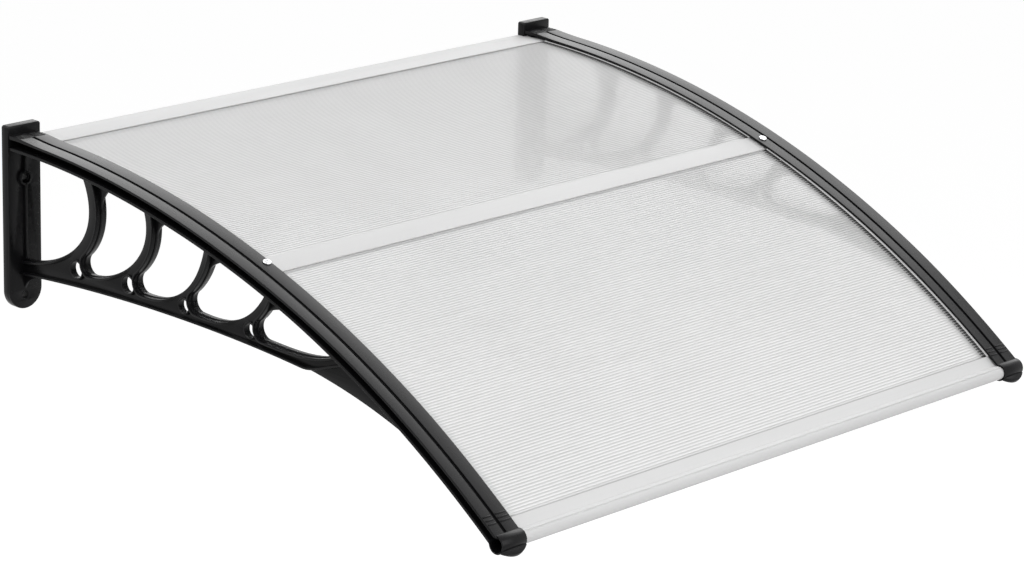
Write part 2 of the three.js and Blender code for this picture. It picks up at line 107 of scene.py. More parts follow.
def rounded(points, radius, steps, most=0.48):  # a corner takes at most this share of a side
    radii = radius if isinstance(radius, (list, tuple)) else [radius] * len(points)
    result = []
    for i, corner in enumerate(points):
        p = Vector(corner)
        before = Vector(points[i - 1]) - p
        after = Vector(points[(i + 1) % len(points)]) - p
        half = before.angle(after) / 2
        reach = min(radii[i] / math.tan(half), most * before.length, most * after.length)
        a = p + before.normalized() * reach
        b = p + after.normalized() * reach
        for k in range(steps + 1):
            t = k / steps
            result.append(tuple(a * (1 - t) ** 2 + p * (2 * t * (1 - t)) + b * t * t))
    return result


def beside(points, distance):  # the same line, moved to its right
    moved = []
    for i, (a, b) in enumerate(points):
        a0, b0 = points[max(i - 1, 0)]
        a1, b1 = points[min(i + 1, len(points) - 1)]
        length = math.hypot(a1 - a0, b1 - b0)
        moved.append((a + distance * (b1 - b0) / length, b - distance * (a1 - a0) / length))
    return moved


def strip(points, near, far):
    return beside(points, near) + beside(points, far)[::-1]


def sideOn(x=0.0):  # (u, z) drawings, thickness along X
    return Matrix(((0, 0, -mm, x * mm), (-mm, 0, 0, 0), (0, mm, 0, 0), (0, 0, 0, 1)))


def frontOn(u):  # (x, z) drawings, thickness along the reach
    return Matrix(((mm, 0, 0, 0), (0, 0, -mm, -u * mm), (0, mm, 0, 0), (0, 0, 0, 1)))


def onRail(s, h=0.0, x=0.0):  # (along, x) drawings, thickness off the rail
    turn = s / arch["radius"]
    u, z = archPoint(s, h)
    c, d = math.cos(turn) * mm, math.sin(turn) * mm
    return Matrix(((0, mm, 0, x * mm), (-c, 0, -d, -u * mm), (-d, 0, c, z * mm), (0, 0, 0, 1)))


def cleanMesh(bm, name):
    bmesh.ops.remove_doubles(bm, verts=bm.verts, dist=1e-7)
    bmesh.ops.recalc_face_normals(bm, faces=bm.faces)
    mesh = bpy.data.meshes.new(name)
    bm.to_mesh(mesh)
    bm.free()
    return mesh


def slab(loops, half, edge, place, reshape=None):  # a flat outline with holes, its edges rounded
    curve = bpy.data.curves.new("outline", "CURVE")
    curve.dimensions = "2D"
    curve.fill_mode = "BOTH"
    curve.extrude = half - edge
    curve.bevel_depth = edge
    curve.bevel_resolution = 1
    curve.offset = -edge
    for loop in loops:
        line = curve.splines.new("POLY")
        line.points.add(len(loop) - 1)
        for point, (a, b) in zip(line.points, loop):
            point.co = (a, b, 0, 1)
        line.use_cyclic_u = True
    drawing = bpy.data.objects.new("outline", curve)
    bpy.context.scene.collection.objects.link(drawing)
    view = bpy.context.evaluated_depsgraph_get()
    flat = bpy.data.meshes.new_from_object(drawing.evaluated_get(view))
    bpy.data.objects.remove(drawing)
    bpy.data.curves.remove(curve)
    if reshape:
        for v in flat.vertices:
            v.co = reshape(v.co)
    flat.transform(place)
    bm = bmesh.new()
    bm.from_mesh(flat)
    bpy.data.meshes.remove(flat)
    return cleanMesh(bm, "slab")


def sweep(section, stations, shape=None):  # (h, x) section carried along the arch, closed at both ends
    bm = bmesh.new()
    rings = []
    for s in stations:
        ring = []
        for h, x in section:
            if shape:
                h, x = shape(s, h, x)
            u, z = archPoint(s, h)
            ring.append(bm.verts.new((x * mm, -u * mm, z * mm)))
        rings.append(ring)
    count = len(section)
    for a, b in zip(rings, rings[1:]):
        for i in range(count):
            j = (i + 1) % count
            bm.faces.new((a[i], a[j], b[j], b[i]))
    bm.faces.new(rings[0])
    bm.faces.new(rings[-1])
    return cleanMesh(bm, "sweep")


def lathe(profile, steps, place):  # (radius, along) profile that closes on itself or on the axis
    bm = bmesh.new()
    rings = []
    for radius, along in profile:
        if radius < 1e-6:
            rings.append([bm.verts.new((0, 0, along))])
            continue
        turns = [2 * math.pi * i / steps for i in range(steps)]
        rings.append([bm.verts.new((radius * math.cos(t), radius * math.sin(t), along)) for t in turns])
    loops = list(zip(rings, rings[1:]))
    if len(rings[0]) > 1 or len(rings[-1]) > 1:
        loops.append((rings[-1], rings[0]))
    for a, b in loops:
        for i in range(steps):
            j = (i + 1) % steps
            corners = [a[i % len(a)], a[j % len(a)], b[j % len(b)], b[i % len(b)]]
            corners = [v for k, v in enumerate(corners) if v not in corners[:k]]
            if len(corners) > 2:
                bm.faces.new(corners)
    bm.transform(place)
    return cleanMesh(bm, "lathe")


alongX = Matrix(((0, 0, 1, 0), (1, 0, 0, 0), (0, 1, 0, 0), (0, 0, 0, 1)))  # lathe axis onto X
alongWall = Matrix(((1, 0, 0, 0), (0, 0, -1, 0), (0, 1, 0, 0), (0, 0, 0, 1)))  # lathe axis onto the reach
mirror = Matrix.Scale(-1, 4, (1, 0, 0))


def at(x, u, z):
    return Matrix.Translation((x * mm, -u * mm, z * mm)) @ Matrix.Scale(mm, 4)


def holder(mesh, name):
    obj = bpy.data.objects.new(name, mesh)
    bpy.context.scene.collection.objects.link(obj)
    return obj


def cut(mesh, tools):  # mesh without what the tools cover
    body = holder(mesh, "body")
    others = [holder(tool, "tool") for tool in tools]
    for tool in others:
        step = body.modifiers.new("cut", "BOOLEAN")
        step.operation = "DIFFERENCE"
        step.solver = "EXACT"
        step.object = tool
    view = bpy.context.evaluated_depsgraph_get()
    result = bpy.data.meshes.new_from_object(body.evaluated_get(view))
    for obj in [body] + others:
        bpy.data.objects.remove(obj)
    return result


def brick(low, high):  # plain cutter between two corners, mm
    bm = bmesh.new()
    bmesh.ops.create_cube(bm, size=1.0)
    size = [b - a for a, b in zip(low, high)]
    middle = [(a + b) / 2 for a, b in zip(low, high)]
    for v in bm.verts:
        v.co = Vector([m + c * w for m, c, w in zip(middle, v.co, size)]) * mm
    return cleanMesh(bm, "brick")


def piece(name, meshes, finish, node, x=0.0, crease=32.0):
    bm = bmesh.new()
    for mesh in meshes:
        bm.from_mesh(mesh)
    whole = bpy.data.meshes.new(name)
    bm.to_mesh(whole)
    bm.free()
    whole.polygons.foreach_set("use_smooth", [True] * len(whole.polygons))
    whole.set_sharp_from_angle(angle=math.radians(crease))
    whole.materials.append(finish)
    obj = holder(whole, name)
    obj.location.x = x * mm
    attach(obj, "root")
    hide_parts(node)


# shader maths: a wire is a socket, and sums of wires add Math nodes
class Wire:
    def __init__(self, tree, socket=None):
        self.tree = tree
        self.socket = socket

    def node(self, kind, settings=None, sockets=None, out=0):
        made = self.tree.nodes.new("ShaderNode" + kind)
        for key, value in (settings or {}).items():
            if key == "stops":
                ramp = made.color_ramp
                while len(ramp.elements) < len(value):
                    ramp.elements.new(0.5)
                for stop, (place, colour) in zip(ramp.elements, value):
                    stop.position = place
                    stop.color = colour
            else:
                setattr(made, key, value)
        for key, value in (sockets or {}).items():
            if isinstance(value, Wire):
                self.tree.links.new(value.socket, made.inputs[key])
            else:
                made.inputs[key].default_value = value
        return Wire(self.tree, made.outputs[out]) if len(made.outputs) else made

    def maths(self, operation, a, b=None):
        values = {0: a} if b is None else {0: a, 1: b}
        return self.node("Math", {"operation": operation}, values)

    def __add__(self, other):
        return self.maths("ADD", self, other)

    def __radd__(self, other):
        return self.maths("ADD", other, self)

    def __sub__(self, other):
        return self.maths("SUBTRACT", self, other)

    def __rsub__(self, other):
        return self.maths("SUBTRACT", other, self)

    def __mul__(self, other):
        return self.maths("MULTIPLY", self, other)

    def __rmul__(self, other):
        return self.maths("MULTIPLY", other, self)

    def __truediv__(self, other):
        return self.maths("DIVIDE", self, other)

    def __pow__(self, other):
        return self.maths("POWER", self, other)


def mixed(wire, share, a, b):  # colours a to b
    node = wire.node("Mix", {"data_type": "RGBA"}, {"Factor": share}, 2)
    mixNode = node.socket.node
    for key, value in ((6, a), (7, b)):
        if isinstance(value, Wire):
            wire.tree.links.new(value.socket, mixNode.inputs[key])
        else:
            mixNode.inputs[key].default_value = value
    return node


def scaled(wire, vector, scale):
    return wire.node("Mapping", {}, {"Vector": vector, "Scale": scale})


def band(wire, value, low, high, soft):  # 1 between low and high, with soft ends
    def rise(edge):
        return wire.node("MapRange", {"interpolation_type": "SMOOTHSTEP"},
                         {"Value": value, "From Min": edge - soft / 2, "From Max": edge + soft / 2})
    return rise(low) - rise(high)


def newFinish(name):
    made = bpy.data.materials.new(name)
    made.use_nodes = True
    made.node_tree.nodes.clear()
    return made, Wire(made.node_tree)


def output(wire, shader):
    wire.node("OutputMaterial", {}, {"Surface": shader})


def objectPlace(wire):
    return wire.node("TexCoord", {}, {}, "Object")


def noise(wire, vector, scale, detail, roughness=0.5):
    sockets = {"Vector": vector, "Scale": scale, "Detail": detail, "Roughness": roughness}
    return wire.node("TexNoise", {}, sockets)


def bumped(wire, strength, depth, height):
    return wire.node("Bump", {}, {"Strength": strength, "Distance": depth, "Height": height})


plasticLook = {
    "black": (0.004, 0.004, 0.0044, 1),
    "scuff": (0.011, 0.011, 0.012, 1),
    "roughness": 0.27,
    "grain": 1500.0,
    "pebble": 620.0,
    "cloud": 9.0,
    "flow": 60.0,
    "worn": (0.5, 0.62),  # pointiness where wear starts and where it is full
    "bump": (0.2, 0.00014),  # strength, depth in m
    "specular": 0.135,
}


def plasticFinish():
    look = plasticLook
    made, w = newFinish("moulded_black_plastic")
    where = objectPlace(w)
    grain = noise(w, where, look["grain"], 2.0)
    pebble = noise(w, where, look["pebble"], 1.0)
    cloud = noise(w, where, look["cloud"], 4.0, 0.6)
    flow = noise(w, scaled(w, where, (1, 0.12, 1)), look["flow"], 3.0)
    start, full = look["worn"]
    corners = w.node("NewGeometry", {}, {}, "Pointiness")
    worn = w.node("ValToRGB", {"stops": [(start, (0, 0, 0, 1)), (full, (1, 1, 1, 1))]}, {"Fac": corners})
    dull = cloud * 0.5 + flow * 0.5
    colour = mixed(w, worn * 0.5 + dull * 0.35, look["black"], look["scuff"])
    rough = look["roughness"] + (dull - 0.5) * 0.22 + worn * 0.06
    bump = bumped(w, *look["bump"], grain * 0.4 + pebble)
    shader = w.node("BsdfPrincipled", {}, {
        "Base Color": colour, "Roughness": rough, "Normal": bump, "Specular IOR Level": look["specular"]})
    output(w, shader)
    return made


sheetLook = {
    "flute": (0.86, 0.86, 0.86, 1),
    "rib": (0.5, 0.5, 0.5, 1),
    # colour of the painted shade that the slot and the front bar's lip throw on the sheet
    "paintedShade": (0.008, 0.008, 0.008, 1),
    "alpha": 0.88,
    "clear": 0.25,  # alpha of ribs and lower skin
    "frost": 0.24,  # share of light that passes the upper skin
    "bend": 1.08,  # the thin skin hardly bends what is seen through it
    "lens": 0.5,  # lean of the normal on a flute's flanks
    "upper": 1.5,  # mm over the slot's middle line, under the upper skin
    "glow": (0.34, 0.34, 0.34, 1),  # painted glow: the sheet's end under the flange shines though it is no lamp
    "roughness": 0.7,
    "specular": 0.03,
    "bump": (0.1, 0.0002),
    "pitch": 0.0044,
    "edge": 0.479,  # where the right slot's painted shade ends, from the middle plane
    "leftEdge": 0.006,  # the left one ends this much further out
    "strip": 4.3,  # painted-lit strip of the sheet's end under the flange, mm
    "deep": 40.0,  # painted shade from the lit strip to past the sheet's end, deeper in the slot, mm
    "line": 6.0,  # width of the painted dark line, mm
    # ends of the painted dashes and of the fading painted hatch, mm
    "dashes": 10.0,
    "hatch": 24.0,
    "soft": 0.4,  # border of a painted shade, mm
    "lip": 968.6,  # the front bar's lip lies on the sheet from here
    "lipShade": (2.8, 0.6, 0.34),  # width, border and depth of its painted shadow on the sheet
}


def sheetFinish():
    look = sheetLook
    made, w = newFinish("translucent_twin_wall")
    where = objectPlace(w)
    split = w.node("SeparateXYZ", {}, {"Vector": where})
    x, y, z = (Wire(w.tree, split.socket.node.outputs[axis]) for axis in "XYZ")
    out = -1.0 * y - arch["plate"] * mm
    high = z + arch["radius"] * mm
    turn = w.maths("ARCTAN2", out, high)
    height = w.maths("SQRT", out * out + high * high) / mm - arch["radius"]
    upper = w.maths("GREATER_THAN", height, look["upper"])
    phase = turn * (arch["radius"] * mm / look["pitch"]) * (2 * math.pi)
    wave = w.maths("COSINE", phase) * 0.5 + 0.5
    rib = wave ** 2.0
    drawn = noise(w, scaled(w, where, (0.6, 40, 40)), 8.0, 4.0)
    haze = noise(w, where, 5.0, 3.0)
    speck = noise(w, where, 700.0, 2.0)
    mottle = rib * 0.8 + (drawn - 0.5) * 0.35 + (haze - 0.5) * 0.2
    colour = mixed(w, mottle, look["flute"], look["rib"])

    # painted shade: the slot's darkness is painted on the sheet beside the rails as a line, a row of dashes
    # and a fading hatch at the flute pitch; under the flange a strip is painted lit, and deeper in the slot
    # the sheet is painted dark
    soft = look["soft"]
    edge = w.maths("LESS_THAN", x, 0.0) * look["leftEdge"] + look["edge"]
    inside = (edge - w.maths("ABSOLUTE", x)) / mm
    line = band(w, inside, 0.0, look["line"], soft) * (1.0 - rib * 0.4)
    dashes = band(w, inside, look["line"], look["dashes"], 2.0) * (1.0 - wave)
    fade = w.node("MapRange", {}, {"Value": inside, "From Min": look["hatch"], "From Max": look["line"]})
    hatch = fade * (1.0 - wave) ** 3.0 * 0.7
    wide, border, depth = look["lipShade"]
    # painted shadow of the front bar's lip on the sheet
    lipShade = band(w, turn * arch["radius"], look["lip"] - wide, look["lip"], border) * depth
    slotShade = w.maths("MINIMUM", line + w.maths("MAXIMUM", dashes, hatch) + lipShade, 0.97)
    # painted light: under the flange the sheet is made bright, opaque and glowing
    paintedLitStrip = band(w, inside, -look["strip"], 0.0, soft)
    # painted shade on the sheet deeper in the slot
    deep = band(w, inside, -look["deep"], -look["strip"], soft)
    slotShade = w.maths("MAXIMUM", slotShade, deep)
    colour = mixed(w, paintedLitStrip, mixed(w, slotShade, colour, look["paintedShade"]), look["flute"])
    alpha = look["clear"] + upper * (look["alpha"] - look["clear"]) + (drawn - 0.5) * 0.1
    alpha = w.maths("MINIMUM", alpha + slotShade * 0.4 + paintedLitStrip * 0.4, 1.0)
    rough = look["roughness"] + (haze - 0.5) * 0.08 + (speck - 0.5) * 0.06
    bump = bumped(w, *look["bump"], drawn * 0.4 + speck * 0.3)

    # each flute is a weak lens, so what lies below blurs across the flutes
    lean = w.maths("SINE", phase) * upper * look["lens"]
    across = w.node("CombineXYZ", {}, {
        "Y": w.maths("COSINE", turn) * lean * -1.0, "Z": w.maths("SINE", turn) * lean * -1.0})
    leaning = w.node("VectorMath", {"operation": "ADD"}, {0: bump, 1: across})
    normal = w.node("VectorMath", {"operation": "NORMALIZE"}, {0: leaning})
    shader = w.node("BsdfPrincipled", {}, {
        "Base Color": colour, "Roughness": rough, "Alpha": alpha, "Normal": normal, "IOR": look["bend"],
        "Transmission Weight": look["frost"], "Specular IOR Level": look["specular"],
        "Emission Color": mixed(w, paintedLitStrip, (0, 0, 0, 1), look["glow"]), "Emission Strength": 1.0})
    output(w, shader)
    return made


aluminiumLook = {
    "bright": (0.73, 0.73, 0.73, 1),
    "dull": (0.635, 0.635, 0.635, 1),
    "roughness": 0.55,
    "metal": 0.02,
    "specular": 0.03,
    "bump": (0.08, 0.0001),
}


def aluminiumFinish():
    look = aluminiumLook
    made, w = newFinish("satin_anodised_aluminium")
    where = objectPlace(w)
    lines = noise(w, scaled(w, where, (0.8, 420, 420)), 4.0, 5.0)
    cloud = noise(w, scaled(w, where, (1, 6, 6)), 5.0, 3.0)
    frost = noise(w, where, 2400.0, 1.0)
    colour = mixed(w, lines * 0.45 + cloud * 0.4, look["bright"], look["dull"])
    rough = look["roughness"] + (lines - 0.5) * 0.2 + (cloud - 0.5) * 0.1
    bump = bumped(w, *look["bump"], lines + frost * 0.4)
    shader = w.node("BsdfPrincipled", {}, {
        "Base Color": colour, "Roughness": rough, "Normal": bump, "Metallic": look["metal"],
        "Specular IOR Level": look["specular"]})
    output(w, shader)
    return made


zincLook = {
    "bright": (0.9, 0.9, 0.9, 1),
    "blotch": (0.7, 0.71, 0.73, 1),
    "roughness": 0.2,
    "bump": (0.06, 0.00005),
}


def screwFinish():
    look = zincLook
    made, w = newFinish("bright_zinc_plate")
    where = objectPlace(w)
    blotch = noise(w, where, 420.0, 4.0)
    tiny = noise(w, where, 3000.0, 1.0)
    colour = mixed(w, blotch, look["bright"], look["blotch"])
    rough = look["roughness"] + blotch * 0.16
    bump = bumped(w, *look["bump"], tiny)
    shader = w.node("BsdfPrincipled", {}, {
        "Base Color": colour, "Roughness": rough, "Normal": bump, "Metallic": 1.0})
    output(w, shader)
    return made


blackPlastic = plasticFinish()
twinWall = sheetFinish()
satinAluminium = aluminiumFinish()
zincPlate = screwFinish()
print("finishes ready")

# wall plate
plate = {
    "width": 55.5,
    "rise": 24.6,
    "drop": 236.6,
    "corner": 3.5,
    "edge": 1.0,
    "wall": 4.0,
    "rib": 4.0,
    "pocketPitch": 34.0,
    "pocketRib": 3.5,
    "upperHole": 50.0,
    "lowerHole": 217.0,
    "bore": 4.5,
    "seat": 7.5,
    "seatDepth": 5.0,
    "boss": 10.5,
    "bossLap": 1.5,
    "lowerBoss": 8.5,
    "lowerLap": 2.0,
    "bevel": 1.2,
    "sink": 0.02,  # keeps two faces from lying in one plane
    "pocketCorner": 1.2,
    "shellStop": 2.0,  # the shell ends this far inside the front
}


def wallPlate():
    half = plate["width"] / 2
    cornerX = half - plate["corner"]
    cornerZ = plate["rise"] - plate["corner"]
    outline = (circle(0, half - plate["drop"], half, 48, 180, 360)
               + circle(cornerX, cornerZ, plate["corner"], 6, 0, 90)
               + circle(-cornerX, cornerZ, plate["corner"], 6, 90, 180))
    holes = [circle(0, -plate["upperHole"], plate["boss"] - plate["bossLap"], 32),
             circle(0, -plate["lowerHole"], plate["lowerBoss"] - plate["lowerLap"], 28)]
    deep = arch["plate"]
    front = slab([outline] + holes, plate["wall"] / 2, plate["edge"], frontOn(deep - plate["wall"] / 2))
    land = plate["boss"]
    fields = ((plate["rise"] - plate["wall"], land - plate["upperHole"]),
              (-land - plate["upperHole"], land - plate["lowerHole"]))
    pockets = []
    inner = plate["pocketRib"] / 2
    outer = half - plate["wall"]
    for top, bottom in fields:
        rows = max(1, round((top - bottom) / plate["pocketPitch"]))
        pitch = (top - bottom) / rows
        for row in range(rows):
            high = top - row * pitch - plate["pocketRib"] / 2
            low = top - (row + 1) * pitch + plate["pocketRib"] / 2
            for side in (-1, 1):
                box = [(side * inner, low), (side * outer, low), (side * outer, high), (side * inner, high)]
                pockets.append(rounded(box, plate["pocketCorner"], 3))
    depth = deep - plate["shellStop"]
    shell = slab([outline] + pockets + holes, depth / 2, plate["edge"] / 2, frontOn(depth / 2))
    bore, seat, boss = plate["bore"], plate["seat"], plate["boss"]
    top = deep + plate["rib"]
    floor = top - plate["seatDepth"]
    outside = [(bore, 0.0), (boss, 0.0), (boss, top - 0.8), (boss - 0.25, top - 0.25), (boss - 0.8, top)]
    inside = [(seat + 0.5, top), (seat, top - 0.5), (seat, floor + 0.4), (seat - 0.4, floor), (bore, floor)]
    upper = lathe(outside + inside, 40, at(0, 0, -plate["upperHole"]) @ alongWall)
    wide, face, bevel = plate["lowerBoss"], deep - plate["sink"], plate["bevel"]
    profile = [(bore, 0.0), (wide, 0.0), (wide, face), (bore + bevel, face), (bore, deep - bevel)]
    lower = lathe(profile, 36, at(0, 0, -plate["lowerHole"]) @ alongWall)
    return [front, shell, upper, lower]


# slotted rail
rail = {
    "width": 42.0,
    "web": 5.0,
    "left": (26.2, 430.0, 700.0, 3.0),  # lips: widest reach, then where and how far it narrows
    "lowerLeft": (25.6, 250.0, 640.0, 4.6),
    "right": (20.2, 760.0, 960.0, 1.4),
    "lipRoot": 11.0,
    "leadIn": 2.0,  # the slot opens upwards at the lips
    "edge": 0.4,
    "groove": 2.5,
    "grooveAt": -4.3,
    "grooveDepth": 2.6,
    "grooveEdge": 0.4,
    "grooveStart": 25.0,
    "padLift": 2.6,  # the top is thicker in front of the plate
    "padRun": 52.0,  # and thins down over this length
    "ridges": 3,
    "ridgePitch": 5.8,
    "ridgeInset": 11.0,
    "ridgeHalf": 1.3,
    "ridgeHeight": 1.0,
    "ridgeStop": 2.2,  # before the lip's edge
    "ridgeClear": 1.6,  # from the groove's middle, in half grooves
    "steps": 190,
    "past": 5.0,  # cutters run this far past the lips
    "plugLap": 1.0,
    "plugSink": 0.02,
}
roll = {
    "bead": 10.1,
    "outer": 12.3,
    "edge": 0.6,
    "discLap": 0.8,
    "discEdge": 0.3,
    "tongue": 21.4,
    "tongueBow": 8.4,
    "tongueThick": 5.5,
    "tongueLap": 0.4,
    "tongueEdge": 0.8,
}


def padLift(s):
    rest = (rail["grooveStart"] + rail["padRun"] - s) / rail["padRun"]
    return rail["padLift"] * min(max(rest, 0.0), 1.0) ** 2


def lip(s, h, side):  # reach of the left or right lip at s
    left = rail["left"] if h > 0 else rail["lowerLeft"]
    widest, start, end, less = rail["right"] if side > 0 else left
    return widest - less * eased((s - start) / (end - start))


def railShape(s, h, x):  # the lips taper, and the top flange grows thicker towards the plate
    h += padLift(s) * max(h - slotHalf, 0.0) / arch["topFlange"]
    root, side = rail["lipRoot"], math.copysign(1.0, x)
    if abs(x) > root:
        x = side * (root + (abs(x) - root) * (lip(s, h, side) - root) / (rail["width"] / 2 - root))
    return h, x


def railBody():
    half, web, root = rail["width"] / 2, rail["web"] / 2, rail["lipRoot"]
    g, middle, lead = rail["groove"], rail["grooveAt"], rail["leadIn"]
    floor = railTop - rail["grooveDepth"]

    def halfSection(side):
        return [(floor, middle + side * g), (railTop, middle + side * g), (railTop, side * half),
                (slotHalf + lead, side * half), (slotHalf, side * root), (slotHalf, side * web),
                (-slotHalf, side * web), (-slotHalf, side * half), (-railBottom, side * half)]

    radii = [0.3, rail["grooveEdge"], rail["edge"], 0.4, 1.0, 0.5, 0.5, 0.4, 0.7]
    section = rounded(halfSection(1) + halfSection(-1)[::-1], radii + radii[::-1], 5)
    end = arch["length"] - weld
    lid = rail["grooveStart"]
    steps = rail["steps"]
    stations = sorted([-weld + (end + weld) * i / steps for i in range(steps + 1)] + [lid])
    body = sweep(section, stations, railShape)
    past = half + rail["past"]
    socket = [(0.0, web), (roll["bead"], web), (roll["bead"], past), (0.0, past)]
    centre = at(0, *archPoint(arch["length"]))
    body = cut(body, [lathe(socket, 64, centre @ side @ alongX) for side in (Matrix(), mirror)])
    high, low = railTop + rail["padLift"] - rail["plugSink"], floor - rail["plugLap"]
    left, right = middle - g - rail["plugLap"], middle + g + rail["plugLap"]
    plug = sweep([(high, left), (high, right), (low, right), (low, left)], [0.0, lid / 2, lid])
    return [body, plug]


def ridges():
    made = []
    first = rail["ridgeInset"]
    last = arch["length"] - roll["outer"] - rail["ridgeInset"]
    steps = [i * rail["ridgePitch"] for i in range(rail["ridges"])]
    w, t = rail["ridgeHalf"], rail["ridgeHeight"]
    clear = rail["ridgeClear"] * rail["groove"]
    for s in [first + step for step in steps] + [last - step for step in steps]:
        foot = railTop + padLift(s)
        shape = [(-w, foot - 0.6), (w, foot - 0.6), (w, foot + 0.1), (0.55 * w, foot + 0.85 * t),
                 (0, foot + t), (-0.55 * w, foot + 0.85 * t), (-w, foot + 0.1)]
        for side in (-1, 1):
            near = rail["grooveAt"] + side * clear
            far = side * (lip(s, 1, side) - rail["ridgeStop"])
            made.append(slab([tilted(s, shape)], abs(far - near) / 2, 0.25, sideOn((near + far) / 2)))
    return made


def frontEnd():
    r, o, s = roll["bead"], roll["outer"], arch["length"]
    half = rail["width"] / 2
    outerMouth = math.degrees(math.asin(slotHalf / o))
    innerMouth = math.degrees(math.asin(slotHalf / r))
    ring = (circle(0, 0, o, 48, 180 - outerMouth, outerMouth - 180)
            + circle(0, 0, r, 44, innerMouth - 180, 180 - innerMouth))
    made = [slab([tilted(s, ring)], half, roll["edge"], sideOn())]
    disc = circle(0, 0, r + roll["discLap"], 48)
    made.append(slab([tilted(s, disc)], rail["web"] / 2, roll["discEdge"], sideOn()))
    side = roll["tongue"] - roll["tongueBow"]
    front = softCorner((side, -half), (roll["tongue"] + roll["tongueBow"], 0), (side, half), 28)
    back = r + roll["tongueLap"]
    tongue = [(back, -half)] + front + [(back, half)]
    made.append(slab([tongue], roll["tongueThick"] / 2, roll["tongueEdge"], onRail(s)))
    return made


# scroll work under the rail
scroll = {
    "web": 4.0,
    "webEdge": 0.6,
    "ribbon": 18.0,
    "ribbonThick": 3.0,
    "ribbonEdge": 0.7,
    "lip": 1.5,
    "runOut": 34.0,
    "runOutEnd": 0.42,
    "chordDrop": 170.0,
    "chordFall": 17.4,
    "chordDip": 8.8,
    "chordHandles": ((177, 19), (-175, 14)),
    "chordSetback": 121.0,  # setbacks are from where chord and rail would meet
    "turnHandles": ((25, -2), (-43, -9)),
    "tipSetback": 28.0,
    "edgeSetback": 51.0,
    "foot": 13.7,
    "throat": 120.0,
    "eyeRim": 2.2,
    "eyeWidth": 10.0,
    "eyeEdge": 0.5,
    "eyeLap": 1.0,
    "gusset": 46.0,
    "gussetBend": 0.6,
    "footGusset": 20.0,
    "footBow": 8.0,
    "footLap": 3.0,
    "fin": 26.0,
    "finHandle": (200, -26),
    "boreReach": 40.0,  # the cutters end in the first opening
}
openings = [
    {"rise": 4.0, "edge": 131.0, "low": (105, 9), "high": (60, -83)},
    {"foot": 158.0, "rise": 28.5, "hole": 11.5, "eye": (-29.8, -13), "brace": 0.45,
     "top": 163.0, "lean": (19, -29), "heel": (38, 37), "edge": 257.0, "low": (68, 5), "high": (44, -67)},
    {"foot": 267.0, "rise": 28.5, "hole": 11.5, "eye": (-31.2, -9), "brace": 0.5,
     "top": 285.6, "lean": (9, -20), "heel": (40, 35), "edge": 388.7, "low": (70, -2), "high": (-11, -68)},
    {"foot": 376.5, "rise": 28.0, "hole": 9.3, "eye": (-27.8, -11), "brace": 0.52,
     "top": 405.2, "lean": (1, -21), "heel": (24, 22), "edge": 510.8, "low": (80, -6), "high": (-23, -42)},
    {"foot": 505.6, "rise": 22.4, "hole": 9.4, "eye": (-28.1, -7.3), "brace": 0.75,
     "top": 525.8, "lean": (-4, -13), "heel": (13, 13), "low": (52, -2), "high": (-45, -22)},
]
underside = arch["radius"] - railBottom
chordLevel = arch["radius"] - scroll["chordDrop"]
chordMeet = arch["plate"] + math.sqrt(underside ** 2 - chordLevel ** 2)
chordEnd = chordMeet - scroll["chordSetback"]
chordTip = chordMeet - scroll["tipSetback"]
openings[-1]["edge"] = chordMeet - scroll["edgeSetback"]
rootHeight = -slotHalf - arch["lowerFlange"] / 2


def railRoot(u):
    return (u, archHeight(u, rootHeight))


def away(point, handle):
    return (point[0] + handle[0], point[1] + handle[1])


def footCentre(o):
    return (o["foot"], o["rise"] - scroll["chordDrop"])


def strutLine(o, steps, start=0.0):
    top = railRoot(o["top"])
    throat = circle(*footCentre(o), scroll["foot"], 1, scroll["throat"], scroll["throat"] + 1)[0]
    return bezier(top, away(top, o["lean"]), away(throat, o["heel"]), throat, steps, start)


def footLine(o):
    return circle(*footCentre(o), scroll["foot"], 16, scroll["throat"], 270)


def edgeLine(o, steps, end=1.0):
    if "foot" in o:
        start = (o["foot"], footCentre(o)[1] - scroll["foot"])
    else:
        start = (arch["plate"] - weld, o["rise"] - scroll["chordDrop"])
    last = railRoot(o["edge"])
    return bezier(start, away(start, o["low"]), away(last, o["high"]), last, steps, 0.0, end)


def chordLine():
    first, last = scroll["chordHandles"]
    start = (arch["plate"] - weld, -scroll["chordDrop"] - scroll["chordFall"])
    end = (chordEnd, -scroll["chordDrop"] - scroll["chordDip"])
    return bezier(start, away(start, first), away(end, last), end, 60)


def turnLine():
    first, last = scroll["turnHandles"]
    start = (chordEnd, -scroll["chordDrop"] - scroll["chordDip"])
    end = railRoot(chordTip)
    return bezier(start, away(start, first), away(end, last), end, 16)


def underRail(start, end, steps=12):
    return [railRoot(start + (end - start) * i / steps) for i in range(1, steps + 1)]


def openingLine(o):
    edge = edgeLine(o, 44)
    if "foot" not in o:
        rib = arch["plate"] + plate["rib"]
        inside = [p for p in edge if p[0] > rib]
        return [(rib, inside[0][1])] + inside + underRail(o["edge"], rib)
    strut = strutLine(o, 16, o["brace"])
    root = railRoot(o["top"] + scroll["gusset"])
    gusset = softCorner(root, strutLine(o, 1, o["brace"] * scroll["gussetBend"])[0], strut[0], 10)
    return strut + footLine(o)[1:] + edge[1:] + underRail(o["edge"], root[0]) + gusset[1:-1]


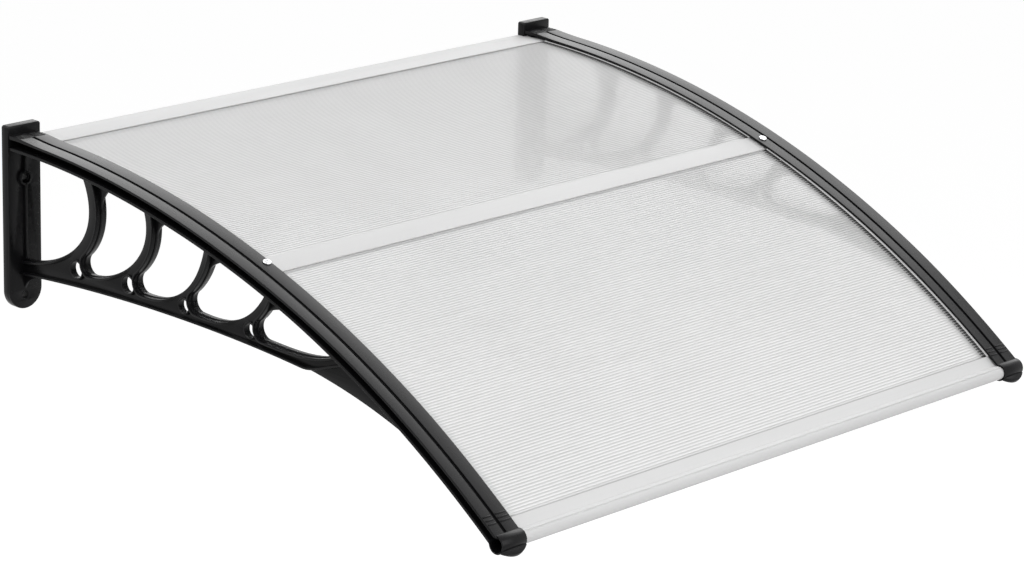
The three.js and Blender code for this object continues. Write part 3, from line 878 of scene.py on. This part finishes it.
def scrollWork():
    made = []
    chord = chordLine()
    tip = chord[-1]
    run = arch["length"] - scroll["fin"]
    fin = softCorner(tip, away(tip, scroll["finHandle"]), archPoint(run, -slotHalf), 40)
    steps = 60
    top = [archPoint(run * (1 - i / steps)) for i in range(steps + 1)]
    back = arch["plate"] - weld
    outline = chord + fin[1:] + top + [(back, 0)]
    feet = [o for o in openings if "foot" in o]
    eyes = [away(footCentre(o), o["eye"]) + (o["hole"],) for o in feet]
    loops = [outline] + [openingLine(o) for o in openings]
    loops += [circle(u, z, r + scroll["eyeLap"], 30) for u, z, r in eyes]
    web = slab(loops, scroll["web"] / 2, scroll["webEdge"], sideOn())
    face = arch["plate"] + plate["rib"] - plate["seatDepth"]
    place = at(0, 0, -plate["upperHole"]) @ alongWall
    end = scroll["boreReach"]
    bores = [lathe([(0.0, low), (radius, low), (radius, end), (0.0, end)], 40, place)
             for radius, low in ((plate["seat"], face), (plate["bore"], 0.0))]
    made.append(cut(web, bores))

    # concave gusset between chord and plate
    low = chord[0][1] - scroll["footGusset"]
    far = chord[7]
    lap = (0, scroll["footLap"])
    curve = softCorner((arch["plate"], low), (arch["plate"] + scroll["footBow"], chord[3][1]), far, 14)
    shape = [away((back, chord[0][1]), lap), (back, low)] + curve + [away(far, lap)]
    made.append(slab([shape], scroll["web"] / 2, scroll["webEdge"], sideOn()))

    # ribbons round the openings and along the chord
    for o in openings:
        last = o is openings[-1]
        edge = edgeLine(o, 36) if last else edgeLine(o, 18, scroll["runOutEnd"])
        path = strutLine(o, 24) + footLine(o)[1:] + edge[1:] if "foot" in o else edge
        end = path[-1][0]

        def thin(co, end=end):
            share = eased((co.x - end + scroll["runOut"]) / scroll["runOut"])
            return Vector((co.x, co.y, co.z * (1 - share * (1 - scroll["web"] / scroll["ribbon"]))))

        ribbon = strip(path, scroll["lip"], scroll["lip"] + scroll["ribbonThick"])
        reshape = None if last else thin
        made.append(slab([ribbon], scroll["ribbon"] / 2, scroll["ribbonEdge"], sideOn(), reshape))
    lower = strip(chord + turnLine()[1:], -scroll["ribbonThick"], 0)
    made.append(slab([lower], scroll["ribbon"] / 2, scroll["ribbonEdge"], sideOn()))

    # ringed eyes at the struts' feet
    half, edge = scroll["eyeWidth"] / 2, scroll["eyeEdge"]
    for u, z, r in eyes:
        rim = r + scroll["eyeRim"]
        profile = [(r, edge - half), (r + edge, -half), (rim - edge, -half), (rim, edge - half),
                   (rim, half - edge), (rim - edge, half), (r + edge, half), (r, half - edge)]
        made.append(lathe(profile, 44, at(0, u, z) @ alongX))
    return made


moulding = wallPlate() + railBody() + ridges() + frontEnd() + scrollWork()
piece("left_bracket_moulding", moulding, blackPlastic, "left_bracket", -bracketAt)
piece("right_bracket_moulding", moulding, blackPlastic, "right_bracket", bracketAt)
print("brackets moulded from", len(moulding), "forms")

# extruded bars
bars = {
    "grip": 16.0,
    "wall": 1.6,
    "groove": 2.5,  # half height of the sheet groove
    "rearReach": 52.0,
    "middleAt": 480.7,
    "middleWidth": 34.0,
    "middleCore": 11.6,
    "frontReach": 27.4,
    "bead": 9.8,
    "beadWall": 1.6,
    "beadSteps": 104,
    "lineAt": 97.0,  # a fine line along the bead's crest, degrees
    "lineWide": 7.0,
    "lineDeep": 2.1,
    "edge": 0.35,
    "endEdge": 0.15,
    "lipEdge": 0.3,
    "cutter": (520.0, 9.0, 12.0),  # reach of the notch cutter past the bar's end, back and top
}


def sag(reach):
    return reach ** 2 / (2 * arch["radius"])


def rearBar():
    reach, core, g, w = bars["rearReach"], bars["rearReach"] - bars["grip"], bars["groove"], bars["wall"]
    drop = sag(reach - arch["plate"])
    high = slotHalf - arch["gap"] - drop / 2
    outline = [(0, -high), (reach, -high), (reach, -g), (core, -g),
               (core, g), (reach, g), (reach, high), (0, high)]
    hollow = [(w, w - high), (core - w, w - high), (core - w, high - w), (w, high - w)]
    loops = [rounded(outline, bars["edge"], 3), rounded(hollow, bars["lipEdge"], 2)]
    loops = [[(u, z - drop / 2) for u, z in loop] for loop in loops]
    body = slab(loops, arch["barHalf"], bars["endEdge"], sideOn())
    inner = bracketAt - plate["width"] / 2 - arch["gap"]
    notch = arch["plate"] + arch["gap"]
    past, back, over = bars["cutter"]
    tools = []
    for side in (-1, 1):
        start, end = sorted((side * inner, side * past))
        tools.append(brick((start, -notch, -over), (end, back, over)))
    return cut(body, tools)


def middleBar():
    wide, core, g, w = bars["middleWidth"] / 2, bars["middleCore"] / 2, bars["groove"], bars["wall"]
    high = slotHalf - arch["gap"] - sag(wide) / 2
    outline = [(-wide, -high), (wide, -high), (wide, -g), (core, -g), (core, g), (wide, g),
               (wide, high), (-wide, high), (-wide, g), (-core, g), (-core, -g), (-wide, -g)]
    hollow = [(w - core, w - high), (core - w, w - high), (core - w, high - w), (w - core, high - w)]
    loops = [tilted(bars["middleAt"], rounded(loop, bars["edge"], 3)) for loop in (outline, hollow)]
    return slab(loops, arch["barHalf"], bars["endEdge"], sideOn())


def frontBar():
    reach, core, g, r = bars["frontReach"], bars["frontReach"] - bars["grip"], bars["groove"], bars["bead"]
    drop = sag(reach)
    high = slotHalf - arch["gap"] - drop / 2
    top, low = high - drop / 2, -high - drop / 2
    start = 180 - math.degrees(math.asin(top / r))
    end = -180 + math.degrees(math.asin(-low / r))
    steps = bars["beadSteps"]
    bead = []
    for i in range(steps + 1):
        turn = start + (end - start) * i / steps
        line = max(0.0, 1 - abs(turn - bars["lineAt"]) / bars["lineWide"])
        bead += circle(0, 0, r - bars["lineDeep"] * line, 1, turn, turn + 1)[:1]
    soft = bars["lipEdge"]
    upper = [(-reach, g - drop), (soft - reach, top), (2 * soft - reach, top)]
    lower = [(2 * soft - reach, low), (-reach, low + soft)]
    channel = [(-reach, -g - drop), (-core, -g - drop), (-core, g - drop)]
    bore = circle(0, 0, r - bars["beadWall"], 40)
    loops = [tilted(arch["length"], loop) for loop in (upper + bead + lower + channel, bore)]
    return slab(loops, arch["barHalf"], bars["endEdge"], sideOn())


piece("rear_bar_extrusion", [rearBar()], satinAluminium, "rear_bar")
piece("middle_bar_extrusion", [middleBar()], satinAluminium, "middle_bar")
piece("front_bar_extrusion", [frontBar()], satinAluminium, "front_bar")
print("bars extruded")

# twin-wall sheets
sheets = {"thick": 4.2, "pitch": 4.4, "sink": 0.03, "steps": 6, "endGap": 1.0}


def twinWallSheet(start, end):
    bm = bmesh.new()
    reach = arch["barHalf"]
    outer = sheets["thick"] / 2
    pitch = sheets["pitch"]
    ribs = [k * pitch for k in range(math.ceil(start / pitch), math.floor(end / pitch) + 1)]

    def line(s, h):
        u, z = archPoint(s, h)
        return [bm.verts.new((x * mm, -u * mm, z * mm)) for x in (-reach, reach)]

    def skin(side):
        rows = [line(start, side * outer)]
        for rib in ribs[:-1]:
            for k in range(sheets["steps"]):
                share = k / sheets["steps"]
                sink = sheets["sink"] * math.sin(math.pi * share) ** 2
                rows.append(line(rib + share * pitch, side * (outer - sink)))
        rows += [line(ribs[-1], side * outer), line(end, side * outer)]
        for a, b in zip(rows, rows[1:]):
            corners = (a[0], a[1], b[1], b[0])
            bm.faces.new(corners[::-1] if side > 0 else corners)

    skin(1)
    skin(-1)
    for rib in ribs:
        a, b = line(rib, -outer), line(rib, outer)
        bm.faces.new((a[0], a[1], b[1], b[0]))
    mesh = bpy.data.meshes.new("twin_wall")
    bm.to_mesh(mesh)
    bm.free()
    return mesh


gap = sheets["endGap"]
core = bars["middleCore"] / 2
rearStart = bars["rearReach"] - bars["grip"] - arch["plate"] + gap
frontEndAt = arch["length"] - (bars["frontReach"] - bars["grip"]) - gap
piece("rear_sheet_twin_wall", [twinWallSheet(rearStart, bars["middleAt"] - core - gap)],
      twinWall, "rear_sheet", 0.0, 60.0)
piece("front_sheet_twin_wall", [twinWallSheet(bars["middleAt"] + core + gap, frontEndAt)],
      twinWall, "front_sheet", 0.0, 60.0)
print("sheets drawn")

# screws of the middle bar
screw = {
    "inset": 14.0,
    "shank": 2.5,
    "head": 5.8,
    "dome": 2.9,
    "length": 18.2,
    "tip": 4.0,
    "pitch": 1.1,
    "thread": 0.45,
    "neck": 3.0,
    "recess": 1.7,
    "slotHalf": 0.65,
    "cutter": 2.0,
}


def screwBody(x):
    shank, head, dome = screw["shank"], screw["head"], screw["dome"]
    tip = -screw["length"] - screw["tip"]
    profile = [(0.0, tip), (shank * 0.35, tip + 0.6)]
    z = -screw["length"]
    while z < -screw["neck"]:  # thread as close rings
        profile += [(shank - screw["thread"], z), (shank, z + screw["pitch"] / 2)]
        z += screw["pitch"]
    profile += [(shank, -0.4), (shank + 0.5, 0.0), (head - 0.3, 0.0), (head, 0.3)]
    profile += bezier((head, dome / 3), (head - 0.2, dome * 0.75), (head * 0.6, dome), (0.0, dome), 9)
    place = onRail(bars["middleAt"], railTop + arch["gap"], x)
    body = lathe(profile, 40, place)
    arm, s, deep, tall = head / 2, screw["slotHalf"], dome - screw["recess"], screw["cutter"]
    cross = [(arm, s), (s, s), (s, arm), (-s, arm), (-s, s), (-arm, s),
             (-arm, -s), (-s, -s), (-s, -arm), (s, -arm), (s, -s), (arm, -s)]
    tool = slab([cross], tall, 0.05, place @ Matrix.Translation((0, 0, deep + tall)))
    return cut(body, [tool])


for side, name in ((-1, "left"), (1, "right")):
    body = screwBody(side * (bracketAt - screw["inset"]))
    piece(name + "_screw_head", [body], zincPlate, name + "_screw")
print("screws set")

# stage, light and camera
stage = {
    "floor": -2.2,
    "size": 14.0,
    "pale": (0.82, 0.82, 0.82, 1),
    "white": (1, 1, 1, 1),
    "glow": 1.24,
    "lift": 0.75,  # share of the glow in what the camera sees of the floor
    "world": 0.27,
    "aim": (0, -0.45, -0.1),  # the lamps point here
}


def seenRays(w):  # 1 for camera, mirror and glass rays
    camera = w.node("LightPath", {}, {}, 0)
    rays = camera.socket.node
    glossy = Wire(w.tree, rays.outputs["Is Glossy Ray"])
    through = Wire(w.tree, rays.outputs["Is Transmission Ray"])
    return w.maths("MAXIMUM", w.maths("MAXIMUM", camera, glossy), through)


floorMesh = bpy.data.meshes.new("floor")
size = stage["size"]
corners = [(-size, -size, 0), (size, -size, 0), (size, size, 0), (-size, size, 0)]
floorMesh.from_pydata(corners, [], [(0, 1, 2, 3)])
floor = holder(floorMesh, "floor")
floor.location.z = stage["floor"]
made, w = newFinish("pale_floor")
pale = w.node("BsdfDiffuse", {}, {"Color": stage["pale"]})
glow = w.node("Emission", {}, {"Color": stage["white"], "Strength": stage["glow"]})
output(w, w.node("MixShader", {}, {0: seenRays(w) * stage["lift"], 1: pale, 2: glow}))
floorMesh.materials.append(made)

world = bpy.data.worlds.new("studio")
world.use_nodes = True
world.node_tree.nodes.clear()
w = Wire(world.node_tree)
levels = (stage["world"], 1.0)
dim, white = (w.node("Background", {}, {"Color": stage["white"], "Strength": level}) for level in levels)
w.node("OutputWorld", {}, {"Surface": w.node("MixShader", {}, {0: seenRays(w), 1: dim, 2: white})})
bpy.context.scene.world = world

lamps = [
    {"name": "key", "from": (-2.6, 1.0, 3.3), "size": (4.2, 2.0), "power": 106.0},
    {"name": "side", "from": (3.8, 2.0, 2.4), "size": (5.0, 3.4), "power": 108.0},
    {"name": "top", "from": (3.0, -0.3, 3.1), "size": (3.2, 2.2), "power": 38.0},
    {"name": "fill", "from": (-0.2, -3.4, 0.9), "size": (3.0, 2.4), "power": 60.0},
]
for lamp in lamps:
    light = bpy.data.lights.new(lamp["name"], "AREA")
    light.shape = "RECTANGLE"
    light.size, light.size_y = lamp["size"]
    light.energy = lamp["power"]
    obj = bpy.data.objects.new(lamp["name"], light)
    bpy.context.scene.collection.objects.link(obj)
    obj.location = lamp["from"]
    obj.rotation_euler = (Vector(stage["aim"]) - obj.location).to_track_quat("-Z", "Y").to_euler()

shot = {
    "place": (-3.4051, -3.7229, 1.2459),
    "azimuth": -46.158,
    "elevation": 17.040,
    "roll": 1.687,
    "lens": 125.28,
    "sensor": 36.0,
    "shift": (0.00205, -0.00137),
    "clip": 60.0,
}
a, e, r = (math.radians(shot[key]) for key in ("azimuth", "elevation", "roll"))
backward = Vector((math.sin(a) * math.cos(e), -math.cos(a) * math.cos(e), math.sin(e)))
right = (-backward).cross(Vector((0, 0, 1))).normalized()
up = right.cross(-backward)
axisX = right * math.cos(r) + up * math.sin(r)
axisY = up * math.cos(r) - right * math.sin(r)
camera = bpy.data.cameras.new("camera")
camera.lens = shot["lens"]
camera.sensor_width = shot["sensor"]
camera.shift_x, camera.shift_y = shot["shift"]
camera.clip_end = shot["clip"]
cameraObject = bpy.data.objects.new("camera", camera)
bpy.context.scene.collection.objects.link(cameraObject)
turned = Matrix((axisX, axisY, backward)).transposed().to_4x4()
cameraObject.matrix_world = Matrix.Translation(shot["place"]) @ turned
bpy.context.scene.camera = cameraObject
bpy.context.scene.view_settings.view_transform = "Standard"
print("stage set")
